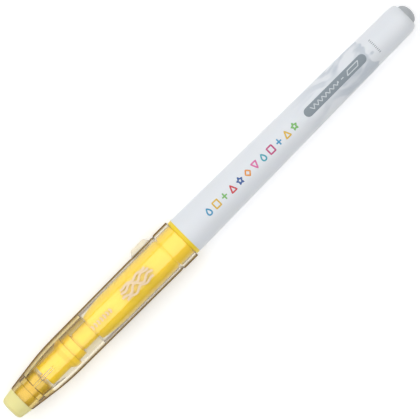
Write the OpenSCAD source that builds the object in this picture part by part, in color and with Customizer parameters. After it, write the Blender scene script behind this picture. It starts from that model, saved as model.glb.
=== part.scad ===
// Capped felt-tip highlighter with a rubbing eraser on the end of its cap.
// The pen lies along X: the eraser points to -X and the tail to +X. The origin is on the pen's
// axis at the plane where the mouth of the cap meets the collar, and the roll lug points to +Y.

/* [Ink reservoir] */
// Diameter of the wrapped ink reservoir, which sets the girth of the whole pen
reservoir_d = 6.5; // [5.4:0.1:7.8]
// Thickness of the film wrapped round the ink fibre
film_t = 0.1; // [0.05:0.01:0.15]
// Length of bare fibre past the film at each end
fibre_bare = 0.5; // [0.2:0.1:1]

/* [Nib] */
// Diameter of the nib rod
nib_d = 3.2; // [2.6:0.1:3.9]
// Length of nib that stands out of the neck
nib_out = 3.9; // [3.2:0.1:4.7]
// Length of nib pushed into the ink fibre
nib_plunge = 4; // [3.3:0.1:4.8]
// Length of the two ground flats of the chisel
chisel_len = 2.2; // [1.8:0.1:2.6]
// Thickness of the chisel's writing edge
chisel_edge = 0.7; // [0.5:0.1:0.9]
// How far one corner of the writing edge is ground back
chisel_slant = 1.3; // [1:0.1:1.6]

/* [Front section] */
// Wall of the section round the ink reservoir
section_wall = 1; // [0.8:0.05:1.2]
// Step from the spigot out to the grip
grip_step = 0.25; // [0.2:0.05:0.3]
// Length of the grip from the collar plane to the front of its nose
grip_len = 31.4; // [25:0.2:38]
// Length of the rounded nose of the grip
nose_len = 8; // [6.6:0.2:9.6]
// How far the nose draws in at its front
nose_drop = 1; // [0.8:0.05:1.2]
// Wall between the nib bore and the ink chamber, along the pen
chamber_wall = 2.8; // [2.2:0.1:3.4]
// Length of the bare throat between nose and neck
throat_len = 4.9; // [4:0.1:6]
// Length of the neck that the inner cap seals on
neck_len = 5.7; // [4.7:0.1:6.9]
// Wall of the neck round the nib
neck_wall = 0.7; // [0.55:0.05:0.85]
// Step from the neck out to the throat
throat_step = 0.25; // [0.2:0.05:0.3]
// Width of the collar that shows between cap and barrel
collar_len = 1.05; // [0.85:0.05:1.3]
// Length of the spigot inside the barrel
spigot_len = 8; // [6.5:0.5:9.6]
// Height of the snap bead on the grip
bead_h = 0.1; // [0.05:0.01:0.12]

/* [Barrel] */
// Length of the barrel
barrel_len = 77.6; // [64:0.2:94]
// Wall of the barrel at its mouth
barrel_wall = 0.95; // [0.8:0.05:1.15]
// Wall of the barrel at its rear end
barrel_rear_wall = 0.8; // [0.65:0.05:1]
// Length of the rounded rear edge
rear_round_len = 2.7; // [2.2:0.1:3.2]
// How far the rear edge draws in
rear_round_drop = 0.95; // [0.8:0.05:1]
// Thickness of the barrel's end wall
end_wall = 3; // [2.4:0.1:3.6]
// Thickness of the ribs that centre the reservoir
rib_t = 0.6; // [0.5:0.05:0.75]

/* [Tail plug] */
// Diameter of the plug's domed head
plug_d = 5.6; // [4.6:0.1:6]
// Height of the domed head
plug_dome = 1.9; // [1.5:0.1:2.3]
// Shoulder of the head over the stem, all round
plug_shoulder = 0.35; // [0.25:0.05:0.45]
// Length of the stem inside the barrel
plug_stem_len = 6.6; // [5.5:0.1:8]
// Wall of the hollow stem
plug_wall = 0.9; // [0.75:0.05:1.1]

/* [Cap shell] */
// Gap between the grip and the cap's bore, all round
cap_gap = 0.2; // [0.15:0.01:0.25]
// Wall of the cap
cap_wall = 0.8; // [0.65:0.05:1]
// How much the cap narrows by draft, from its mouth band to its shoulder
cap_draft = 0.27; // [0.2:0.01:0.35]
// Length of the mouth band
band_len = 4.8; // [4:0.1:5.8]
// Height of the mouth band over the cap
band_h = 0.15; // [0.1:0.01:0.2]
// Step in the bore behind the grip's nose
bore_step = 0.58; // [0.45:0.01:0.65]
// Wall of the cap's nose
nose_wall = 1.1; // [0.9:0.05:1.3]
// Length of the straight cone next to the eraser
cone_len = 7.4; // [6.2:0.1:8.8]
// Length of the blend between cone and shoulder
blend_len = 8; // [6.6:0.1:9.6]
// Thickness of the four fins that centre the inner cap
fin_t = 0.6; // [0.5:0.05:0.75]

/* [Roll lug] */
// Length of the lug's flat top
lug_top_len = 3.9; // [3.2:0.1:4.7]
// Run of each sloping end
lug_slope = 1.25; // [1:0.05:1.5]
// Height of the lug over the cap
lug_h = 1.36; // [1.1:0.02:1.65]
// Width of the lug across the pen
lug_w = 2.2; // [1.8:0.1:2.7]
// Distance from the mouth of the cap to the middle of the lug
lug_at = 9.2; // [8:0.1:14]

/* [Inner cap] */
// Wall of the inner cap
inner_wall = 0.77; // [0.6:0.01:0.95]
// Room between the nib and the closed end
nib_room = 1.4; // [1.1:0.1:1.7]
// Thickness of the closed end
inner_end = 0.9; // [0.7:0.05:1.1]
// Length of the flange ring
flange_len = 2.5; // [2:0.1:3]
// Length of the skirt behind the flange
skirt_len = 2.45; // [2:0.05:3]
// Step from the cup out to the skirt
skirt_step = 0.25; // [0.2:0.05:0.3]
// Length of the moulding nub on the closed end
nub_len = 0.9; // [0.7:0.05:1.1]
// Diameter of the moulding nub
nub_d = 1.8; // [1.5:0.1:2.2]

/* [Eraser] */
// Diameter of the eraser where it meets the cap
eraser_d = 7.44; // [6.9:0.02:8]
// Diameter of the eraser where its edge starts to round
eraser_tip_d = 6.2; // [5.4:0.1:6.8]
// Length of the eraser outside the cap
eraser_out = 4; // [3.3:0.1:4.8]
// Radius of the eraser's rubbing edge
eraser_round = 1; // [0.8:0.05:1.2]
// Diameter of the eraser's stem
stem_d = 5.2; // [4.8:0.1:5.8]
// Length of the stem in its socket, up to the lip
stem_len = 2.8; // [2.3:0.1:3.4]
// Thickness of the lip that holds the stem
lip_len = 1.7; // [1.4:0.1:2]
// Depth of the groove that the lip sits in
lip_h = 0.3; // [0.2:0.05:0.4]
// Length of the stem's head inside the cap
head_len = 2.6; // [2.1:0.1:3.1]

/* [Hidden] */
$fn = 96;
ARC_STEPS = 10;      // straight pieces in a quarter round
CURVE_STEPS = 14;    // straight pieces in a long blend
PAST = 1;            // how far a cutter runs past the face that it opens

// clearances
fill_gap = 0.1;      // round the reservoir in its chamber
fit_gap = 0.02;      // between two pieces of one assembly that are pushed together
seal_gap = 0.03;     // between the neck and the inner cap that slides off it
stop_gap = 0.05;     // between the mouth of the cap and the collar
end_gap = 0.2;       // between pieces that almost meet end to end
chamfer = 0.3;       // lead-in on spigots, mouths and bores

// radii, from the reservoir outwards
reservoir_r = reservoir_d / 2;
fibre_r = reservoir_r - film_t;
chamber_r = reservoir_r + fill_gap;
spigot_r = chamber_r + section_wall;
grip_r = spigot_r + grip_step;
cap_bore_r = grip_r + cap_gap;
cap_r = cap_bore_r + cap_wall;
band_r = cap_r + band_h;
shoulder_r = cap_r - cap_draft;
barrel_front_r = spigot_r + barrel_wall;
barrel_rear_r = chamber_r + barrel_rear_wall;
collar_r = barrel_front_r - stop_gap;

// radii, from the nib outwards
nib_r = nib_d / 2;
nib_bore_r = nib_r + fit_gap;
neck_r = nib_bore_r + neck_wall;
throat_r = neck_r + throat_step;
inner_bore_r = neck_r + seal_gap;
inner_cap_r = inner_bore_r + inner_wall;
skirt_r = inner_cap_r + skirt_step;
nib_room_r = inner_bore_r - seal_gap - chamfer / 3;

// places along the pen, forwards of the collar plane
x_nose = -grip_len;
x_neck = x_nose - throat_len;
x_neck_end = x_neck - neck_len;
x_nib_tip = x_neck_end - nib_out;
x_chamber = x_nose + chamber_wall;
x_inner_mouth = x_neck - 3 * end_gap;
x_inner_cavity = x_nib_tip - nib_room;
x_inner_end = x_inner_cavity - inner_end;
x_flange_back = x_inner_mouth - skirt_len;
x_flange_front = x_flange_back - flange_len;
x_stem_end = x_inner_end - nub_len - end_gap;
x_lip_in = x_stem_end - head_len;
x_lip_out = x_lip_in - lip_len;
x_cap_end = x_lip_out - stem_len;
x_eraser_end = x_cap_end - eraser_out;
x_step = x_nose - chamfer;
x_cone = x_cap_end + cone_len;
x_blend = x_cone + blend_len;

// places along the pen, behind the collar plane
x_barrel = stop_gap + collar_len;
x_barrel_end = x_barrel + barrel_len;
x_end_wall = x_barrel_end - end_wall;
x_plug_in = x_barrel_end - plug_stem_len;
x_fibre = x_chamber + end_gap;
x_fibre_end = x_plug_in - end_gap;
x_spigot_end = x_barrel + spigot_len;

// the cap's outline: a straight body with draft, a blend, and a cone down to the eraser
eraser_r = eraser_d / 2;
eraser_tip_r = eraser_tip_d / 2;
stem_r = stem_d / 2;
lip_r = stem_r - lip_h;
cap_end_r = eraser_r + 3 * fit_gap;
body_slope = cap_draft / (-band_len - x_blend);
cone_slope = (shoulder_r - cap_end_r - body_slope * blend_len / 2) / (blend_len / 2 + cone_len);
seat_r = cap_bore_r - bore_step;

function cap_outer_r(x) =
    let (d = x_blend - x)
    x > x_blend ? shoulder_r - body_slope * d :
    x > x_cone ? shoulder_r - body_slope * d - (cone_slope - body_slope) * d * d / (2 * blend_len) :
    cap_end_r + cone_slope * (x - x_cap_end);

function cap_cavity_r(x) = min(seat_r, cap_outer_r(x) - nose_wall);

flange_r = cap_cavity_r(x_flange_front) - fit_gap;

// the grip's nose, a parabola that meets the grip smoothly
function nose_r(x) =
    let (d = max(0, x_nose + nose_len - x) / nose_len)
    grip_r - nose_drop * d * d;

// the barrel is a long cone from mouth to tail
function barrel_r(x) =
    barrel_front_r + (barrel_rear_r - barrel_front_r) * (x - x_barrel) / barrel_len;

// points [radius, x] of a quarter ellipse that runs from angle a to angle b round [r, x]
function arc(r, x, size_r, size_x, a, b) =
    [for (i = [0 : ARC_STEPS])
        let (t = a + (b - a) * i / ARC_STEPS)
        [r + size_r * cos(t), x + size_x * sin(t)]];

function curve_x(a, b) = [for (i = [0 : CURVE_STEPS]) a + (b - a) * i / CURVE_STEPS];

// turns a [radius, x] outline about the pen's axis
module turned(outline) {
    rotate_extrude() polygon(outline);
}

module tube(r, x0, x1) {
    translate([0, 0, x0]) cylinder(r = r, h = x1 - x0);
}

// lays a piece that is modelled along Z down along X, with its own Y kept
module along_pen() {
    rotate([0, 90, 0]) children();
}

// a flat web in the plane of the pen's axis, from its [radius, x] outline
module web(outline, thickness) {
    rotate([90, 0, 90]) translate([0, 0, -thickness / 2])
        linear_extrude(thickness) polygon(outline);
}

module four_round() {
    for (turn = [0 : 90 : 270]) rotate([0, 0, turn]) children();
}

// ---- cap ----

module cap_outline() {
    groove = band_h * 0.8;
    turned(concat(
        [[0, x_cap_end]],
        [for (x = curve_x(x_cap_end, x_cone)) if (x == x_cap_end || x == x_cone) [cap_outer_r(x), x]],
        [for (x = curve_x(x_cone, x_blend)) if (x > x_cone) [cap_outer_r(x), x]],
        [[cap_outer_r(-band_len - 4 * band_h), -band_len - 4 * band_h],
         [cap_r - groove, -band_len - 3 * band_h],
         [cap_r - groove, -band_len - band_h],
         [band_r, -band_len + band_h],
         [band_r, 0],
         [0, 0]]));
}

module cap_cavity() {
    turned(concat(
        [[0, PAST], [cap_bore_r + chamfer / 2, PAST], [cap_bore_r + chamfer / 2, 0],
         [cap_bore_r, -chamfer], [cap_bore_r, x_step], [seat_r, x_step]],
        [for (x = curve_x(x_blend, x_lip_in)) [cap_cavity_r(x), x]],
        [[0, x_lip_in]]));
}

module roll_lug() {
    foot = cap_wall / 2;
    half_top = lug_top_len / 2;
    half_foot = half_top + lug_slope;
    top = cap_outer_r(-lug_at) + lug_h;
    buried = lug_slope * foot / lug_h;
    intersection() {
        web([[top - lug_h - foot, -lug_at - half_foot - buried],
             [top, -lug_at - half_top],
             [top, -lug_at + half_top],
             [top - lug_h - foot, -lug_at + half_foot + buried]], lug_w);
        tube(top, -lug_at - 2 * half_foot, -lug_at + 2 * half_foot);
    }
}

module cap_fin() {
    front = x_lip_in - fit_gap;
    back = x_flange_front - end_gap;
    inner_r = inner_cap_r + fit_gap;
    bite = nose_wall / 3;
    web([[inner_r, front], [cap_cavity_r(front) + bite, front],
         [cap_cavity_r(back) + bite, back], [inner_r + 2 * chamfer, back],
         [inner_r, back - 2 * chamfer]], fin_t);
}

module cap_shell() {
    color([0.86, 0.82, 0.7, 0.4]) along_pen() union() {
        difference() {
            union() {
                cap_outline();
                roll_lug();
            }
            cap_cavity();
            tube(stem_r + fit_gap, x_cap_end - PAST, x_lip_out);
            tube(lip_r + fit_gap, x_lip_out - PAST, x_lip_in + PAST);
        }
        difference() {
            four_round() cap_fin();
            tube(stem_r + fit_gap, x_lip_in - PAST, x_inner_end - end_gap);
        }
    }
}

module inner_cap() {
    color([1, 0.84, 0.3]) along_pen() difference() {
        union() {
            turned(concat(
                [[0, x_inner_end - nub_len], [nub_d / 2, x_inner_end - nub_len], [nub_d / 2, x_inner_end]],
                arc(inner_cap_r - chamfer, x_inner_end + chamfer, chamfer, chamfer, -90, 0),
                [[inner_cap_r, x_flange_front],
                 [inner_cap_r + chamfer, x_flange_front],
                 [flange_r, x_flange_front + flange_len / 2],
                 [flange_r, x_flange_back - chamfer / 2],
                 [flange_r - chamfer / 2, x_flange_back],
                 [skirt_r, x_flange_back],
                 [skirt_r, x_inner_mouth - chamfer / 2],
                 [skirt_r - chamfer / 2, x_inner_mouth],
                 [0, x_inner_mouth]]));
        }
        turned([[0, x_inner_cavity], [nib_room_r, x_inner_cavity], [nib_room_r, x_neck_end - end_gap],
                [inner_bore_r, x_neck_end], [inner_bore_r, x_inner_mouth - chamfer],
                [inner_bore_r + chamfer, x_inner_mouth], [inner_bore_r + chamfer, x_inner_mouth + PAST],
                [0, x_inner_mouth + PAST]]);
    }
}

module eraser() {
    head_r = stem_r - fit_gap;
    color([0.94, 0.9, 0.62]) along_pen()
        turned(concat(
            [[0, x_eraser_end]],
            arc(eraser_tip_r - eraser_round, x_eraser_end + eraser_round, eraser_round, eraser_round, -90, 0),
            [[eraser_r, x_cap_end], [stem_r, x_cap_end], [stem_r, x_lip_out],
             [lip_r, x_lip_out], [lip_r, x_lip_in], [head_r, x_lip_in]],
            arc(head_r - 2 * chamfer, x_stem_end - 2 * chamfer, 2 * chamfer, 2 * chamfer, 0, 90),
            [[0, x_stem_end]]));
}

// ---- pen ----

module front_section() {
    bead_at = -band_len;
    vent_w = nib_r / 3;
    color([1, 0.84, 0.3]) along_pen() difference() {
        turned(concat(
            [[0, x_neck_end], [neck_r - chamfer, x_neck_end], [neck_r, x_neck_end + chamfer],
             [neck_r, x_neck], [throat_r, x_neck], [throat_r, x_nose]],
            [for (x = curve_x(x_nose, x_nose + nose_len)) [nose_r(x), x]],
            [[grip_r, bead_at - 4 * bead_h], [grip_r + bead_h, bead_at - 2 * bead_h],
             [grip_r + bead_h, bead_at], [grip_r, bead_at + 2 * bead_h],
             [grip_r, stop_gap], [collar_r, stop_gap], [collar_r, x_barrel],
             [spigot_r, x_barrel], [spigot_r, x_spigot_end - chamfer],
             [spigot_r - chamfer, x_spigot_end], [0, x_spigot_end]]));
        tube(nib_bore_r, x_neck_end - PAST, x_chamber + PAST);
        tube(chamber_r, x_chamber, x_spigot_end + PAST);
        for (turn = [0 : 120 : 240]) rotate([0, 0, turn])
            translate([0, -vent_w / 2, x_neck_end - PAST])
                cube([nib_bore_r + neck_wall / 2, vent_w, x_chamber - x_neck_end + 2 * PAST]);
    }
}

module nib() {
    x_end = x_fibre + nib_plunge;
    color([1, 0.86, 0.2]) along_pen() intersection() {
        tube(nib_r, x_nib_tip, x_end);
        rotate([90, 0, 0]) linear_extrude(2 * nib_d, center = true)
            polygon([[-chisel_edge / 2, x_nib_tip], [chisel_edge / 2, x_nib_tip],
                     [nib_r, x_nib_tip + chisel_len], [nib_r, x_end],
                     [-nib_r, x_end], [-nib_r, x_nib_tip + chisel_len]]);
        web([[-nib_r, x_nib_tip], [nib_r, x_nib_tip + chisel_slant], [nib_r, x_end], [-nib_r, x_end]],
            2 * nib_d);
    }
}

module ink_reservoir() {
    color([0.98, 0.9, 0.45]) along_pen() difference() {
        turned([[0, x_fibre], [fibre_r - chamfer, x_fibre], [fibre_r, x_fibre + chamfer],
                [fibre_r, x_fibre_end - chamfer], [fibre_r - chamfer, x_fibre_end], [0, x_fibre_end]]);
        tube(nib_bore_r, x_fibre - PAST, x_fibre + nib_plunge);
    }
}

module reservoir_film() {
    color([0.9, 0.92, 0.9, 0.35]) along_pen() difference() {
        tube(reservoir_r, x_fibre + fibre_bare, x_fibre_end - fibre_bare);
        tube(fibre_r, x_fibre, x_fibre_end);
    }
}

module barrel() {
    x_round = x_barrel_end - rear_round_len;
    x_seat_end = x_spigot_end + 2 * end_gap;
    seat_bore_r = spigot_r + fit_gap;
    bore_front_r = spigot_r - grip_step;
    color([0.9, 0.91, 0.93]) along_pen() union() {
        difference() {
            turned(concat(
                [[0, x_barrel], [barrel_front_r, x_barrel]],
                arc(barrel_r(x_round) - rear_round_drop, x_round, rear_round_drop, rear_round_len, 0, 90),
                [[0, x_barrel_end]]));
            turned([[0, x_barrel - PAST], [seat_bore_r, x_barrel - PAST], [seat_bore_r, x_seat_end],
                    [bore_front_r, x_seat_end + grip_step], [chamber_r + fit_gap, x_end_wall - end_gap],
                    [chamber_r - chamfer, x_end_wall], [0, x_end_wall]]);
            tube(plug_d / 2 - plug_shoulder + fit_gap, x_end_wall - PAST, x_barrel_end + PAST);
        }
        barrel_ribs(x_seat_end + 2 * rear_round_len, x_end_wall - 2 * plug_stem_len, bore_front_r);
    }
}

// four low ribs that run down the bore, tapering out where the bore has closed in on the reservoir
module barrel_ribs(x0, x1, bore_front_r) {
    inner_r = chamber_r;
    function bore_r(x) = bore_front_r
        + (chamber_r - bore_front_r) * (x - x_spigot_end) / (x_end_wall - x_spigot_end);
    four_round() web([[inner_r, x0 + chamfer], [inner_r, x1], [bore_r(x1) + chamfer, x1],
                      [bore_r(x0) + chamfer, x0]], rib_t);
}

module tail_plug() {
    head_r = plug_d / 2;
    stem_in_r = head_r - plug_shoulder;
    barb_r = stem_in_r + plug_shoulder / 2;
    slot = rib_t;
    color([0.7, 0.72, 0.73]) along_pen() difference() {
        turned(concat(
            [[0, x_plug_in], [stem_in_r - chamfer, x_plug_in], [stem_in_r, x_plug_in + 2 * chamfer],
             [barb_r, x_end_wall - 2 * chamfer], [barb_r, x_end_wall - fit_gap],
             [stem_in_r, x_end_wall - fit_gap], [stem_in_r, x_barrel_end], [head_r, x_barrel_end]],
            arc(0, x_barrel_end, head_r, plug_dome, 0, 90)));
        tube(stem_in_r - plug_wall, x_plug_in - PAST, x_barrel_end - plug_wall);
        four_round() translate([0, -slot / 2, x_plug_in - PAST])
            cube([head_r, slot, x_end_wall - x_plug_in]);
    }
}

cap_shell();
inner_cap();
eraser();
front_section();
nib();
ink_reservoir();
reservoir_film();
barrel();
tail_plug();
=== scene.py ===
import math

import bpy
import numpy as np
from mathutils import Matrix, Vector


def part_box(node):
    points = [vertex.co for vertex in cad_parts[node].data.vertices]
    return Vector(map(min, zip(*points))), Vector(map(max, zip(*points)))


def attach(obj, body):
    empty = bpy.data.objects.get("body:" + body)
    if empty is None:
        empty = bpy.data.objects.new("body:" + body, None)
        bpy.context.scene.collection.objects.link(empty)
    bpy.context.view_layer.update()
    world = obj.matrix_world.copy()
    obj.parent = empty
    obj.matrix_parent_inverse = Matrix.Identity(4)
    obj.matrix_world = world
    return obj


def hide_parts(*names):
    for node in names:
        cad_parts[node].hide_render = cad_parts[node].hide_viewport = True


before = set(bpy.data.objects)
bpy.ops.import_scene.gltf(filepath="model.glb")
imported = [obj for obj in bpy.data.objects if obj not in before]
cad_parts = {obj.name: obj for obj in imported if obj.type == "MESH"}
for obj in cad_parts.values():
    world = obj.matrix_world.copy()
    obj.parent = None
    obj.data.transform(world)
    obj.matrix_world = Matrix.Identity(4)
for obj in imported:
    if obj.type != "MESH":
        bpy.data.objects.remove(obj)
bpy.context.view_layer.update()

mm = 0.001


def nodeSpan(node):
    # front end, rear end and radius of a CAD node in mm; the radius is its reach along Z, which the lug isn't on
    low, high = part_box(node)
    return low.x / mm, high.x / mm, high.z / mm


capFront, capMouth, bandRadius = nodeSpan("cap_shell")
eraserEnd, stemEnd, eraserRadius = nodeSpan("eraser")
nubEnd, innerMouth, flangeRadius = nodeSpan("inner_cap")
neckEnd, spigotEnd, collarRadius = nodeSpan("front_section")
nibTip, nibEnd, nibRadius = nodeSpan("nib")
barrelFront, barrelEnd, barrelRadius = nodeSpan("barrel")
plugFront, plugTop, plugRadius = nodeSpan("tail_plug")
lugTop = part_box("cap_shell")[1].y / mm
print("frame loaded:", len(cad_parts), "nodes, cap mouth at", round(capMouth, 3), "mm")


# surfaces: each one is a grid of points worked out as whole arrays

def roundedProfile(corners, steps=5):
    # corners are (x, r, round) in mm; each one with a round becomes a parabola between two points cut back along its
    # sides by that much, and a support point beyond each cut keeps the long faces flat in the shading
    pts = [np.array(c[:2], float) for c in corners]
    out = []
    for i, (x, r, cut) in enumerate(corners):
        here = pts[i]
        if cut <= 0 or i in (0, len(corners) - 1):
            out.append(here)
            continue
        before, after = pts[i - 1] - here, pts[i + 1] - here
        reachA, reachB = np.linalg.norm(before), np.linalg.norm(after)
        cutA, cutB = min(cut, 0.45 * reachA), min(cut, 0.45 * reachB)
        start, end = here + before / reachA * cutA, here + after / reachB * cutB
        if reachA > 3 * cutA:
            out.append(here + before / reachA * cutA * 1.6)
        t = np.linspace(0, 1, steps + 1)[:, None]
        out.extend((1 - t) ** 2 * start + 2 * t * (1 - t) * here + t ** 2 * end)
        if reachB > 3 * cutB:
            out.append(here + after / reachB * cutB * 1.6)
    return np.array(out)


def filled(profile, longest):
    # the same profile with extra points, so that no stretch of it is longer than this many mm
    out = [profile[:1]]
    for a, b in zip(profile[:-1], profile[1:]):
        n = max(1, int(np.ceil(np.linalg.norm(b - a) / longest)))
        out.append(a + (b - a) * (np.arange(1, n + 1) / n)[:, None])
    return np.concatenate(out)


def gridFaces(points, closeAlong=False):
    # corner points in mm and faces of a surface through a grid whose rows run round: a row that isn't joined to the
    # first one is closed by a fan to its own middle, and faces are turned outwards by the sign of the volume they hold
    rows, cols = points.shape[:2]
    verts = points.reshape(-1, 3)
    index = np.arange(rows * cols).reshape(rows, cols)
    index = np.concatenate([index, index[:, :1]], axis=1)
    if closeAlong:
        index = np.concatenate([index, index[:1]], axis=0)
    quads = np.stack([index[:-1, :-1], index[1:, :-1], index[1:, 1:], index[:-1, 1:]], -1).reshape(-1, 4)
    tris = np.zeros((0, 3), int)
    if not closeAlong:
        first, last = len(verts), len(verts) + 1
        verts = np.concatenate([verts, points[[0, -1]].mean(axis=1)])
        fanA = np.stack([np.full(cols, first), index[0, :-1], index[0, 1:]], -1)
        fanB = np.stack([np.full(cols, last), index[-1, 1:], index[-1, :-1]], -1)
        tris = np.concatenate([fanA, fanB])
    corner = verts[np.concatenate([quads[:, [0, 1, 2]], quads[:, [0, 2, 3]], tris])]
    volume = np.einsum("ij,ij->i", corner[:, 0], np.cross(corner[:, 1], corner[:, 2])).sum()
    if volume < 0:
        quads, tris = quads[:, ::-1], tris[:, ::-1]
    return verts, quads.tolist() + tris.tolist()


def makePiece(name, parts, body, material, replaced=()):
    # one object from parts of (points, faces) or (points, faces, colour), riding on a CAD body
    verts = np.concatenate([part[0] for part in parts])
    faces, offset = [], 0
    for part in parts:
        faces += [[i + offset for i in face] for face in part[1]]
        offset += len(part[0])
    mesh = bpy.data.meshes.new(name)
    mesh.from_pydata((verts * mm).tolist(), [], faces)
    mesh.shade_smooth()
    mesh.set_sharp_from_angle(angle=math.radians(50))
    if len(parts[0]) > 2:
        inks = mesh.color_attributes.new("inkColor", "FLOAT_COLOR", "POINT")
        values = np.concatenate([np.tile(linearColor(part[2]), (len(part[0]), 1)) for part in parts])
        inks.data.foreach_set("color", values.astype(np.float32).ravel())
    piece = bpy.data.objects.new(name, mesh)
    bpy.context.scene.collection.objects.link(piece)
    mesh.materials.append(material)
    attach(piece, body)
    if replaced:
        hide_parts(*replaced)
    return piece


def turnedGrid(profile, angles):
    # a profile of (x, r) carried round the pen's axis: y = r cos(angle), z = r sin(angle)
    x, r = profile[:, :1], profile[:, 1:]
    return np.stack([x + 0 * angles, r * np.cos(angles), r * np.sin(angles)], -1)


def evenAngles(sides):
    # whole turn cut into equal steps, without its repeated last angle
    return np.arange(sides) * 2 * np.pi / sides


def turned(corners, sides=128, closed=False, longest=4.0, steps=5):
    # a profile turned about the pen's axis; a closed one is a tube, an open one starts and ends near the axis
    profile = roundedProfile(corners + corners[:1] if closed else corners, steps)
    profile = filled(profile, longest)
    if closed:
        profile = profile[:-1]
    return [gridFaces(turnedGrid(profile, evenAngles(sides)), closeAlong=closed)]


def smoothStep(t):
    # 0 to 1 along 3 t squared less 2 t cubed, level at both ends
    t = np.clip(t, 0, 1)
    return t * t * (3 - 2 * t)


# colours and nodes that every material is made with

def linearColor(hexCode):
    # sRGB hex to the linear values that shaders take, fully opaque
    c = np.array([int(hexCode[i:i + 2], 16) for i in (1, 3, 5)]) / 255
    c = np.where(c <= 0.04045, c / 12.92, ((c + 0.055) / 1.055) ** 2.4)
    return (*c.tolist(), 1.0)


def addNode(tree, kind, settings=None, links=None):
    # adds a node, sets its properties and input values, and links sockets of other nodes into its inputs
    node = tree.nodes.new(kind)
    for key, value in (settings or {}).items():
        if isinstance(key, str) and key in node.bl_rna.properties:
            setattr(node, key, value)
        else:
            node.inputs[key].default_value = value
    for key, socket in (links or {}).items():
        tree.links.new(socket, node.inputs[key])
    return node


def newMaterial(name):
    material = bpy.data.materials.new(name)
    material.use_nodes = True
    material.node_tree.nodes.clear()
    return material, material.node_tree


def mouldedPlastic(name, finish):
    # injection-moulded polypropylene: opaque pigment, a satin skin with the faint ripple of the cooled mould face, and
    # slow drifts of shade along the flow of the melt
    material, tree = newMaterial(name)
    place = addNode(tree, "ShaderNodeTexCoord")
    flow = addNode(tree, "ShaderNodeMapping", {"Scale": (1, 4, 4)}, {"Vector": place.outputs["Object"]})
    drift = addNode(tree, "ShaderNodeTexNoise", {"Scale": 1 / (finish["drift"] * mm), "Detail": 2},
                    {"Vector": flow.outputs[0]})
    shade = addNode(tree, "ShaderNodeMix", {"data_type": "RGBA"}, {0: drift.outputs["Fac"]})
    shade.inputs[6].default_value = linearColor(finish["color"])
    shade.inputs[7].default_value = linearColor(finish["shade"])
    ripple = addNode(tree, "ShaderNodeTexNoise", {"Scale": 1 / (finish["ripple"] * mm), "Detail": 3},
                     {"Vector": place.outputs["Object"]})
    dull = addNode(tree, "ShaderNodeMapRange", {"To Min": finish["roughness"] - 0.04,
                                                "To Max": finish["roughness"] + 0.04},
                   {"Value": ripple.outputs["Fac"]})
    bump = addNode(tree, "ShaderNodeBump", {"Strength": finish["bump"], "Distance": 0.02 * mm},
                   {"Height": ripple.outputs["Fac"]})
    shader = addNode(tree, "ShaderNodeBsdfPrincipled",
                     {"IOR": 1.49, "Specular IOR Level": 0.3, "Subsurface Weight": finish["scatter"],
                      "Subsurface Radius": (1, 0.7, 0.4), "Subsurface Scale": 0.6 * mm},
                     {"Base Color": shade.outputs[2], "Roughness": dull.outputs[0], "Normal": bump.outputs[0]})
    addNode(tree, "ShaderNodeOutputMaterial", links={"Surface": shader.outputs[0]})
    return material, tree, shader, shade


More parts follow.
